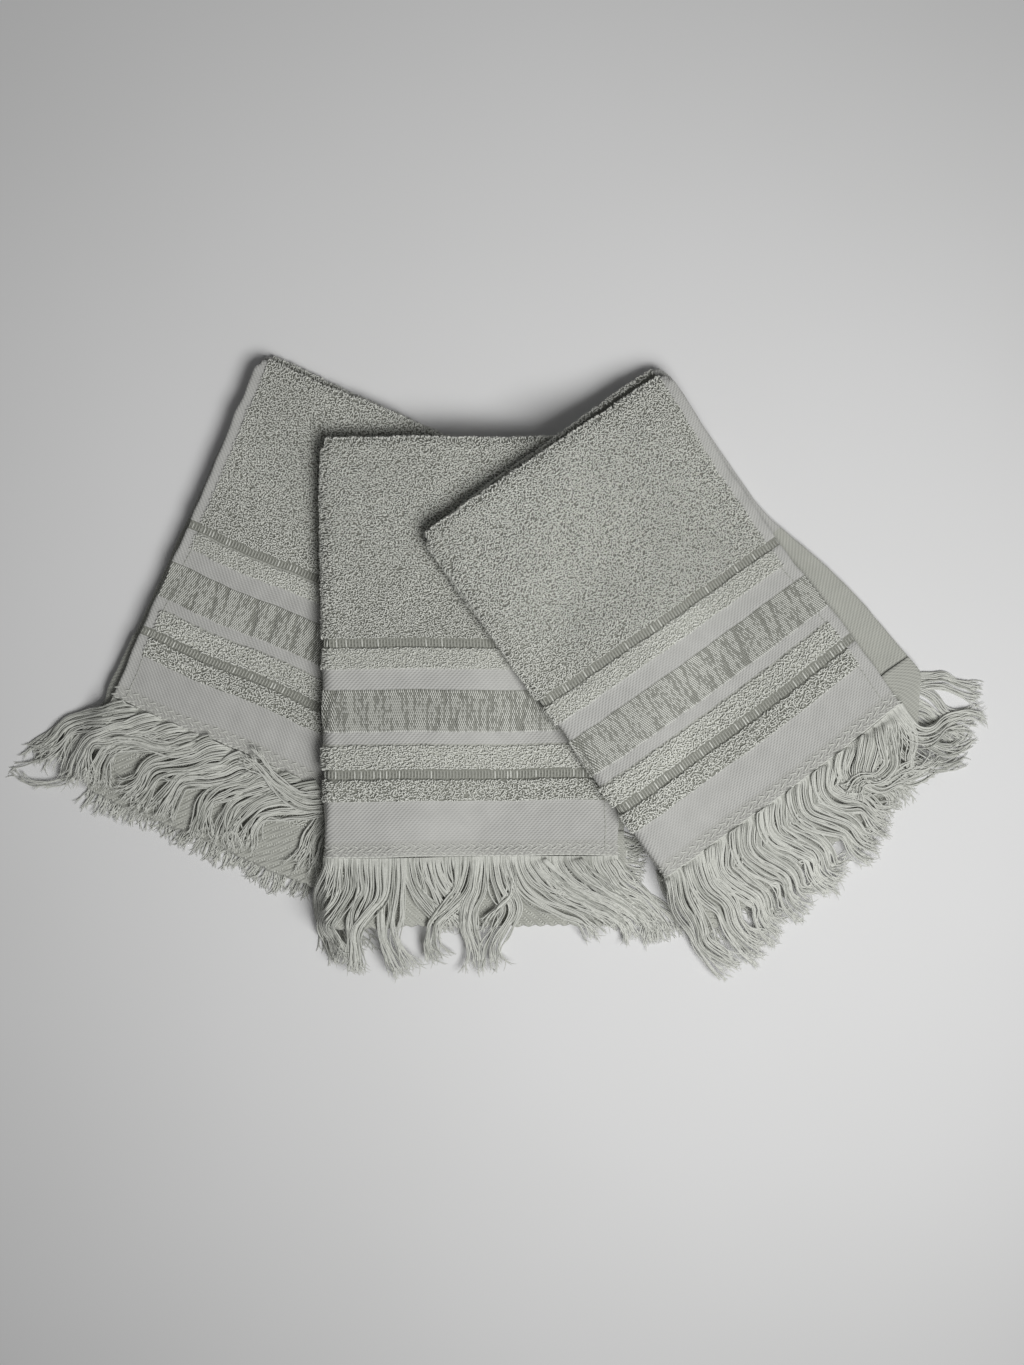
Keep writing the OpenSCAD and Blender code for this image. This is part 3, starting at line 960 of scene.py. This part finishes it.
def rib_floats(towel, start, end):
    """One upright rib after another across a sunken stripe."""
    w = np.arange(*upper_span(towel), RIB_GAP)
    t = (start + end) / 2 + rng.uniform(-0.3, 0.3, len(w))
    shape = arches(towel, w, t, np.pi / 2, end - start - 0.6, RIB_H, RIB_T)
    # most ribs take the darker yarn, as painted shade of the sunken stripe
    return shape, rng.random(len(w)) < SHADED_RIB_SHARE


def dash_floats(towel, start, end):
    """Rows of dashes that slant one way and the other by turns."""
    first = start + DASH_START
    w, t = brick_grid(*upper_span(towel), first, end - 0.6, DASH_PITCH, DASH_ROW)
    tilt = DASH_TILT * np.where(np.round((t - start - DASH_START) / DASH_ROW) % 2 == 0, 1, -1)
    return arches(towel, w, t, tilt, *DASH_FORM), np.full(len(w), THREAD_TONE)


def tail_dots(towel):
    """Slanting rows of small knots on the turned-back end, the wrong side of the border."""
    w_from, w_to = upper_span(towel)
    fold_t = towel.front_l + towel.fold_l
    w, t = brick_grid(w_from, w_to, fold_t - TAIL_RIB_L, fold_t + 1.5, DOT_PITCH, RIB_PITCH / 4)
    knotted = slanting(w, t) < KNOTS_BELOW
    w, t = w[knotted], t[knotted]
    return arches(towel, w, t, 0.6, *DOT_FORM, face=-1), np.full(len(w), THREAD_TONE)


FLOATS = {"check": check_floats, "ribs": rib_floats, "dashes": dash_floats}


def towel_floats(towel):
    """All of one towel's floats and knots as one piece."""
    found = [tail_dots(towel)]
    for weave, start, end in bands(towel):
        if weave in FLOATS:
            found.append(FLOATS[weave](towel, start, end))
    points, faces = joined([shape for shape, _ in found])
    piece = mesh_object(
        f"{towel.name}_towel_floats",
        towel,
        points,
        faces,
        [float_yarn, painted_shade_float_yarn, sewing_thread],
        slots=np.repeat(np.concatenate([tones for _, tones in found]), ARCH_FACES),
    )
    print(piece.name, len(faces), "faces")
    return piece


for name, towel in towels.items():
    extras[name].append(towel_floats(towel))

# %% [markdown]
# ## Sewing
# The side hem is turned over and sewn 6.5 mm in with a lockstitch, 2.6 mm to the stitch. At the
# front edge the last weft is bound by a row of longer stitches that close the ground against the
# loose warp, and the needle leaves a small pinch in the cloth between them.

# %% Stitches
SIDE_STITCH = 2.6
HEM_STITCH = 3.0
SIDE_SEAM_W = 6.5


def seam(towel, part, w, t, turn, length, thick, thread):
    """A row of stitches, standing for its CAD node."""
    points, faces = arches(towel, w, t, turn, length, thick * 0.9, thick, bends=6, sides=6)
    piece = mesh_object(f"{towel.name}_towel_{part}_thread", towel, points, faces, thread)
    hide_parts(f"{towel.name}_towel_{part}")
    return piece


def towel_seams(towel):
    """The side hem's lockstitch and the row that binds the front edge."""
    t_side = np.arange(END_HEM_W + 1, towel.front_l - 2, SIDE_STITCH)
    w_hem = np.arange(2.0, upper_span(towel)[1], HEM_STITCH)
    w_side = np.full(len(t_side), SIDE_SEAM_W)
    side = seam(towel, "side_stitching", w_side, t_side, np.pi / 2, SIDE_STITCH * 0.86, 0.55, shaded_yarn)
    t_hem = np.full(len(w_hem), 0.7)
    hem = seam(towel, "hem_stitching", w_hem, t_hem, 0.12, HEM_STITCH * 0.92, 1.0, sewing_thread)
    return [side, hem]


for name, towel in towels.items():
    extras[name] += towel_seams(towel)

# %% [markdown]
# ## Fringes
# Past the hem the warp yarns hang free, 58 mm long and not knotted. Lying down they fall into
# locks: neighbouring yarns sweep the same way, swing back in a lazy S, crowd together and part
# again at the tip. So a fringe is combed, not scattered. Each lock below has the stretch of hem
# that it leaves, its headings on the way (0 is straight out of the hem, plus is toward the
# selvedge), how long it runs, how narrow it gets and how high it rides on its neighbours.

# %% Locks of each fringe
FRINGE_L = 58.0
YARN_T = 0.72
# (from, to, headings along the way, share of the length, narrowest width, layer)
FRONT_LOCKS = {
    "left": [
        (139, 149, (58, 66, 50, 22, -10, -28), 0.86, 0.85, 0.6),
        (126, 139, (-14, 24, 70, 50, 18, 34), 1.02, 0.6, 1.2),
        (113, 126, (-30, 0, 64, 52, -6, -20), 1.06, 0.5, 1.5),
        (101, 113, (-34, 0, 70, 56, 6, -10), 1.02, 0.45, 1.0),
        (92, 101, (-36, 4, 78, 84, 60, 30), 0.95, 0.5, 1.7),
        (74, 92, (-36, -12, 60, 58, 6, 30), 1.06, 0.5, 1.4),
        (60, 74, (-36, -14, 62, 60, 10, 0), 1.06, 0.45, 1.0),
        (47, 60, (-32, -14, 54, 46, -8, -20), 1.04, 0.5, 1.3),
        (34, 47, (-26, 0, 62, 40, -6, -24), 1.0, 0.5, 1.0),
        (16, 34, (5, 30, 66, 52, 16, -4), 1.02, 0.5, 1.5),
        (1, 16, (0, 20, 30, 10, -5, 0), 0.8, 0.8, 0.3),
        (17, 27, (20, 55, 92, 108, 114, 104), 0.95, 0.45, 2.8),
        (147, 149, (0, -8, 4, 36, 68, 112), 1.35, 0.8, 0.3),
        (143, 145, (10, 0, -6, 30, 50, 70), 1.2, 0.8, 0.3),
    ],
    "middle": [
        (1, 8, (0, -22, -26, 6, 22, 12), 0.85, 0.8, 0.4),
        (8, 17, (0, 2, -28, -38, 28, 40), 0.95, 0.65, 1.0),
        (17, 27, (0, 6, -26, -16, -4, 8), 1.0, 0.5, 1.4),
        (27, 35, (4, 12, -46, -38, 0, 4), 1.05, 0.35, 2.4),
        (30, 41, (0, -4, -12, -2, 22, 36), 1.05, 0.8, 1.2),
        (41, 55, (0, 14, 26, 34, 40, 30), 0.7, 0.6, 0.3),
        (55, 67, (0, 14, 34, 30, 10, -5), 0.75, 0.5, 0.5),
        (67, 78, (0, -16, -46, -44, -6, 34), 1.0, 0.5, 1.6),
        (76, 83, (0, -14, -32, 4, 16, -6), 1.0, 0.55, 1.9),
        (83, 92, (2, 22, 34, -28, -30, 6), 1.0, 0.5, 2.2),
        (91, 95, (0, 8, -18, -42, -40, -20), 0.7, 0.4, 2.6),
        (94, 112, (4, 40, 62, 66, 58, 44), 0.98, 0.6, 1.2),
        (110, 130, (12, 44, 60, 62, 52, 30), 1.0, 0.6, 1.7),
        (128, 149, (6, 34, 52, 60, 42, 20), 0.95, 0.6, 0.6),
    ],
    "right": [
        (1, 14, (-22, -26, -4, -18, 14, 24), 1.05, 0.75, 1.0),
        (13, 29, (-32, -14, 20, -18, 6, 30), 1.05, 0.8, 1.2),
        (28, 46, (-52, -38, 18, 22, -22, 26), 1.02, 0.8, 1.0),
        (45, 63, (-56, -36, 22, 26, -18, 34), 1.0, 0.75, 1.3),
        (62, 81, (-58, -30, 28, 26, -14, 38), 0.98, 0.75, 1.1),
        (80, 97, (-60, -24, 34, 36, 4, 40), 0.96, 0.7, 1.4),
        (96, 113, (-66, -44, 20, 50, 10, 40), 0.86, 0.6, 1.7),
        (112, 126, (-54, -60, -4, 66, 30, -10), 0.84, 0.5, 1.3),
        (125, 138, (-24, -56, -64, 20, 84, 60), 0.84, 0.45, 2.2),
        (137, 149, (10, -24, -60, -20, 66, 84), 0.86, 0.45, 1.6),
        (139, 150, (0, 4, 14, 34, 62, 84), 0.9, 0.8, 0.7),
        (133, 141, (0, 10, -20, -84, -118, -40), 0.8, 0.45, 2.9),
        (143, 150, (4, 26, 66, 96, 70, 30), 0.95, 0.5, 1.9),
    ],
}
UNDER_LOCKS = {
    "left": [
        (139, 149, (40, 72, 70, 40, 20, 10), 1.0, 0.8, 0.4),
        (118, 139, (10, 6, -6, 2, -8, -4), 1.0, 0.9, 0.6),
        (90, 118, (0, 6, -6, 4, 8, -6), 0.95, 0.9, 0.2),
        (60, 90, (0, -8, 4, 6, -6, 6), 0.97, 0.9, 0.2),
        (30, 60, (0, 8, -4, 4, 6, 10), 0.96, 0.9, 0.2),
        (2, 30, (0, 4, -8, 6, 2, -4), 0.92, 0.9, 0.2),
    ],
    "middle": [
        (1, 20, (0, -14, -24, 10, 14, 20), 0.86, 0.8, 0.1),
        (20, 60, (0, 40, 78, 96, 60, 80), 0.6, 0.7, 0.1),
        (60, 100, (0, 50, 84, 98, 70, 84), 0.6, 0.7, 0.1),
        (100, 149, (0, 40, 80, 92, 60, 70), 0.62, 0.7, 0.1),
    ],
    "right": [
        (1, 40, (-8, -30, 12, 8, -10, 10), 0.72, 0.8, 0.1),
        (40, 80, (-10, -30, 20, 10, -8, 14), 0.72, 0.8, 0.1),
        (80, 118, (-10, -20, 24, 20, -4, 20), 0.78, 0.8, 0.1),
        (118, 132, (10, 24, 40, 20, 32, 10), 0.74, 0.5, 0.6),
        (132, 142, (10, 34, 28, 6, 30, 46), 0.68, 0.45, 0.9),
        (142, 150, (24, 60, 62, 24, 30, 44), 0.58, 0.5, 0.6),
    ],
}

# %% [markdown]
# ## Combing a lock
# The middle of a lock follows its headings. The other yarns run beside it, so they stay combed,
# and close in on each other in tufts of a few yarns with a dark gap between. Each yarn wanders
# slightly and has its own length. Its height comes from the maps: over the turned-back end, down
# past it and onto what lies below, and never up into the towel above.

# %% Yarn paths
YARN_PITCH = 0.42
YARN_STEPS = 30
TUFT = 6.0  # yarns that keep together
TUFT_CLOSE = 0.22  # how much closer than even they lie
OVERLYING = 1.85  # a lock that rides this high lies across the others
SWAY, SWAY_L = 1.3, 30  # how a whole tuft wanders: (distance, length)
WANDER, WANDER_L = 0.55, 14  # and one yarn in it
TIP_FAN = 1.2  # the loose ends spread by about this much
CUT_SHORT, CUT_LONG = -5.0, 2.0  # yarns end up to this much before or past the others
STIFF_L = 5.0  # a yarn leaves the hem straight and has its full heading after this length
FALL_L = 7.0  # and comes down from the hem's height over this one
HEAP = 1.6  # the middle of a drawn-in lock is piled higher
YARN_LIFT = 1.3  # yarns lie on one another up to this much higher
ROOF_GAP = 0.15  # kept clear under the towel above
SHADED_SHARE = 0.3  # of the yarns are a tone darker


def extreme(values, pick):
    """Each grid value's largest (np.max) or smallest (np.min) neighbour."""
    return pick(neighbours(values), axis=0)


for towel in towels.values():
    own = [f"{towel.name}_towel_{part}" for part in ("cloth", "under_fringe")]
    own_top = np.nan_to_num(ray_map(own, upward=False), nan=0.0)
    towel.front_rest = blurred(extreme(np.maximum(own_top, towel.beneath), np.max), 1)
    towel.under_rest = blurred(extreme(towel.beneath, np.max), 1)
    towel.ceiling = extreme(towel.ceiling, np.min)


def curve_through(values, at):
    """A smooth curve through evenly spaced values, read at shares from 0 to 1."""
    place = np.clip(at, 0, 1) * (len(values) - 1)
    first = np.minimum(place.astype(int), len(values) - 2)
    values = np.asarray(values, float)
    return values[first] + (values[first + 1] - values[first]) * smooth(place - first)


def shared_headings(locks):
    """Near the hem the yarns of neighbouring locks still run together: heading by place and share."""
    broad = [lock for lock in locks if lock[5] < OVERLYING]
    spots = [(lock[0] + lock[1]) / 2 for lock in broad]

    def shared(places, s):
        rows = np.radians([curve_through(lock[2], s) for lock in broad])
        return np.stack([np.interp(places, spots, column) for column in rows.T], axis=1)

    return shared


def lock_paths(towel, lock, shared, leaf, rest, seed):
    """Paths of a lock's yarns, yarns x steps x 3."""
    start, end, headings, share, narrow, layer = lock
    draw = np.random.default_rng(seed)
    count = max(4, int((end - start) / YARN_PITCH))
    half = (end - start) / 2
    place = np.linspace(-1, 1, count) + draw.uniform(-0.4, 0.4, count) / count
    s = np.linspace(0, 1, YARN_STEPS)
    reach = FRINGE_L * share
    own_part = smooth((s - 0.08) / 0.45)[None, :]
    base = (start + end) / 2 + half * place
    heading = np.radians(curve_through(headings, s)) * own_part + shared(base, s) * (1 - own_part)
    heading = heading * smooth(s * reach / STIFF_L)
    pace = reach / (YARN_STEPS - 1)
    a_mid = (start + end) / 2 + pace * (np.cumsum(np.sin(heading), axis=1) - np.sin(heading[:, :1]))
    v_mid = pace * (np.cumsum(np.cos(heading), axis=1) - np.cos(heading[:, :1]))
    narrow = 0.4 + 0.6 * narrow
    width = 1.1 - (1.1 - narrow) * smooth((s - 0.15) / 0.6) + 0.25 * smooth((s - 0.8) / 0.2)
    uneven = 0.35 * waves(place * 9, place * 0, seed, 2.3)
    tuft = np.round(place * count / 2 / TUFT + uneven) * TUFT * 2 / count
    close = TUFT_CLOSE * smooth(s / 0.12)
    spot = tuft[:, None] + (place - tuft)[:, None] * (1 - close)
    tuft_key = np.round(tuft * 1000)[:, None]
    at = s * reach + tuft_key * 7.1
    sway = SWAY * waves(at, tuft_key * 0.0, seed + 1, SWAY_L, 4) * smooth(s / 0.5)
    own = WANDER * waves(s * reach, place[:, None] * 90, seed + 2, WANDER_L, 4) * smooth(s / 0.3)
    fan = draw.normal(0, 1, count)[:, None] * TIP_FAN * smooth((s - 0.8) / 0.2)
    aside = spot * half * width + sway + own + fan
    along = (draw.uniform(CUT_SHORT, CUT_LONG, count)[:, None] + sway * 0.3) * smooth(s / 0.9)
    a = a_mid + aside * np.cos(heading) + along * np.sin(heading)
    v = v_mid - aside * np.sin(heading) + along * np.cos(heading)
    v = v - (v < 0) * v * (s < 0.15)
    bend = towel.slant * leaf
    hem_v = towel.front_l + bend * a
    a = a + spread_aside(towel, a, hem_v, leaf)
    hem_v = hem_v - drawn_up(towel, a, hem_v)
    x, y = towel.to_set(a - bend * (hem_v + v) * a / towel.fold_w, hem_v + v)
    base = base[:, None]
    w = towel.fold_w - base if leaf > 0 else FLAT_W - towel.fold_w + base
    hem = folded(towel, np.clip(w, 0.5, FLAT_W - 0.5), 0.6)[:, 0, 2]
    heap = (1 - width) * HEAP * np.sqrt(np.maximum(0, 1 - place**2))[:, None]
    lift = YARN_T / 2 + layer * smooth(s / 0.25) + draw.uniform(0, YARN_LIFT, count)[:, None] + heap
    z = height_at(rest, x, y) + lift
    z = hem[:, None] + (z - hem[:, None]) * smooth(s * reach / FALL_L)
    roof = height_at(towel.ceiling, x, y) - YARN_T / 2 - ROOF_GAP
    z = np.where(z > roof, np.maximum(roof, YARN_T / 2), z)
    return np.stack([x, y, z], axis=-1)


def frayed_ends(paths, seed):
    """Where a cut yarn untwists, its plies part: three thin ends to each yarn."""
    draw = np.random.default_rng(seed)
    ahead = unit(paths[:, -1] - paths[:, -4])
    aside = unit(np.cross(ahead, [0.0, 0.0, 1.0]))
    s = np.linspace(0, 1, 5)[None, :, None]
    ends = []
    for _ in range(3):
        far = draw.uniform(2.5, 5.5, len(paths))[:, None, None]
        lean = draw.normal(0, 0.35, len(paths))[:, None, None]
        path = paths[:, -2][:, None] + ahead[:, None] * far * s + aside[:, None] * lean * far * s * s
        path[..., 2] = np.maximum(path[..., 2], YARN_T / 2)
        ends.append(path)
    return np.concatenate(ends)


PLY_RADII = np.array([0.3, 0.26, 0.22, 0.17, 0.08])


def fringe(towel, part, locks, leaf, rest, seed):
    """One fringe of loose yarns, standing for its CAD node."""
    found, slots, seed_now = [], [], seed
    shared = shared_headings(locks)
    taper = YARN_T / 2 * (1 - 0.35 * smooth((np.linspace(0, 1, YARN_STEPS) - 0.9) / 0.1))
    for lock in locks:
        paths = lock_paths(towel, lock, shared, leaf, rest, seed_now)
        found.append(tubes(paths, taper))
        dark = np.random.default_rng(seed_now).random(len(paths)) < SHADED_SHARE
        slots.append(np.repeat(dark, len(found[-1][1]) // len(paths)))
        thin = frayed_ends(paths, seed_now)
        found.append(tubes(thin, PLY_RADII, 4))
        slots.append(np.zeros(len(found[-1][1]), bool))
        seed_now += 10
    points, faces = joined(found)
    kinds = [fringe_yarn, shaded_yarn]
    piece = mesh_object(
        f"{towel.name}_towel_{part}_yarns", towel, points, faces, kinds, slots=np.concatenate(slots)
    )
    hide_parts(f"{towel.name}_towel_{part}")
    print(piece.name, len(faces), "faces")
    return piece


TUCKED_COUNT = 110


def tucked_fringe(towel):
    """The back end's fringe, flat in the gap between the leaves, pointing back to the top fold."""
    draw = np.random.default_rng(90 + order.index(towel.name))
    a = np.linspace(towel.stack_t, towel.fold_w - 1.5, TUCKED_COUNT)[:, None]
    s = np.linspace(0, 1, 9)[None, :]
    v = towel.fold_l - towel.turn_in - FRINGE_L * 0.9 * s
    a = a + 2.0 * waves(s * 50 + a * 0.3, a * 0.0, 91, 24) * s + draw.normal(0, 0.4, a.shape) * s
    a = np.minimum(a, towel.fold_w - 1.2)
    x, y = towel.to_set(a, v + 0 * a)
    z = height_at(towel.under, x, y) + towel.stack_t / 2 + draw.uniform(-0.3, 0.3, a.shape)
    points, faces = tubes(np.stack([x, y, z], axis=-1), np.full(9, YARN_T / 2))
    piece = mesh_object(f"{towel.name}_towel_tucked_yarns", towel, points, faces, fringe_yarn)
    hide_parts(f"{towel.name}_towel_tucked_fringe")
    return piece


for rank, (name, towel) in enumerate(towels.items()):
    extras[name].append(tucked_fringe(towel))
    front = fringe(towel, "front_fringe", FRONT_LOCKS[name], 1, towel.front_rest, 1000 + rank * 500)
    under = fringe(towel, "under_fringe", UNDER_LOCKS[name], -1, towel.under_rest, 3000 + rank * 500)
    extras[name] += [front, under]

# %% [markdown]
# ## One cloth, many pieces
# Each towel's sheet, pile, floats, sewing and fringes are attached to that towel's body as they are made.

# %% [markdown]
# ## The floor
# A plain pale board with a dull painted face. It is a little uneven in tone, and nothing on it
# draws the eye from the towels.

# %% Floor
FLOOR_SIZE = 3.0


def floor_material():
    """A dull painted board, barely mottled."""
    material, tree, shader = new_material("pale_floor", 0.75, 0.0)
    place = add(tree, "TexCoord").outputs["Object"]
    mottled = add(tree, "TexNoise", {"Scale": 5.0, "Detail": 2.0}, {"Vector": place})
    colour = two_tones(tree, mottled.outputs["Fac"], "#dddddc", "#e3e3e3")
    tree.links.new(colour, shader.inputs["Base Color"])
    return material


bpy.ops.mesh.primitive_grid_add(x_subdivisions=4, y_subdivisions=4, size=FLOOR_SIZE)
floor = bpy.context.object
floor.name = "floor"
floor.data.materials.append(floor_material())

# %% [markdown]
# ## Light
# One soft square lamp stands to the right and toward the viewer and is aimed at the set, so every
# towel's shadow lies to its left and above it. A honeycomb narrows the lamp's beam to 84 degrees,
# and it fades toward the corners of the floor. A weak even fill keeps the shaded gaps readable.


# %% Lamps
def area_lamp(name, place, aim, width, beam, watts):
    """A square lamp of that width in metres, its beam in degrees, pointed from place at aim."""
    light = bpy.data.lights.new(name, "AREA")
    light.shape = "SQUARE"
    light.size = width
    light.spread = np.radians(beam)
    light.energy = watts
    lamp = bpy.data.objects.new(name, light)
    lamp.location = place
    lamp.rotation_euler = (Vector(aim) - Vector(place)).to_track_quat("-Z", "Y").to_euler()
    bpy.context.scene.collection.objects.link(lamp)


LAMP_PLACE = (0.4, -0.36, 0.95)
LAMP_AIM = (0.03, 0.05, 0.0)
area_lamp("soft_box", LAMP_PLACE, LAMP_AIM, width=0.55, beam=84, watts=2.58)
world = bpy.data.worlds.new("soft_fill")
world.use_nodes = True
fill = world.node_tree.nodes["Background"]
fill.inputs["Color"].default_value = linear("#fdfdff")
fill.inputs["Strength"].default_value = 0.13
bpy.context.scene.world = world
bpy.context.scene.view_settings.view_transform = "Standard"

# %% [markdown]
# ## Camera
# The camera hangs straight above the towels and looks down, as for a flat lay. Its height gives
# the slight growth of the upper towels that a real lens shows.

# %% Overhead camera
CAMERA_HEIGHT = 1.25
FRAME_HEIGHT = 0.6948  # of floor seen from front to back
SENSOR = 36.0
AIM_OFFSET = (0.0085, -0.0083)  # the middle of the view from the middle of the set

camera_data = bpy.data.cameras.new("overhead")
camera_data.sensor_fit = "VERTICAL"
camera_data.sensor_height = SENSOR
camera_data.lens = SENSOR * CAMERA_HEIGHT / FRAME_HEIGHT
camera = bpy.data.objects.new("overhead", camera_data)
centre = (cad_low + cad_high) / 2
camera.location = (centre.x + AIM_OFFSET[0], centre.y + AIM_OFFSET[1], CAMERA_HEIGHT)
bpy.context.scene.collection.objects.link(camera)
bpy.context.scene.camera = camera
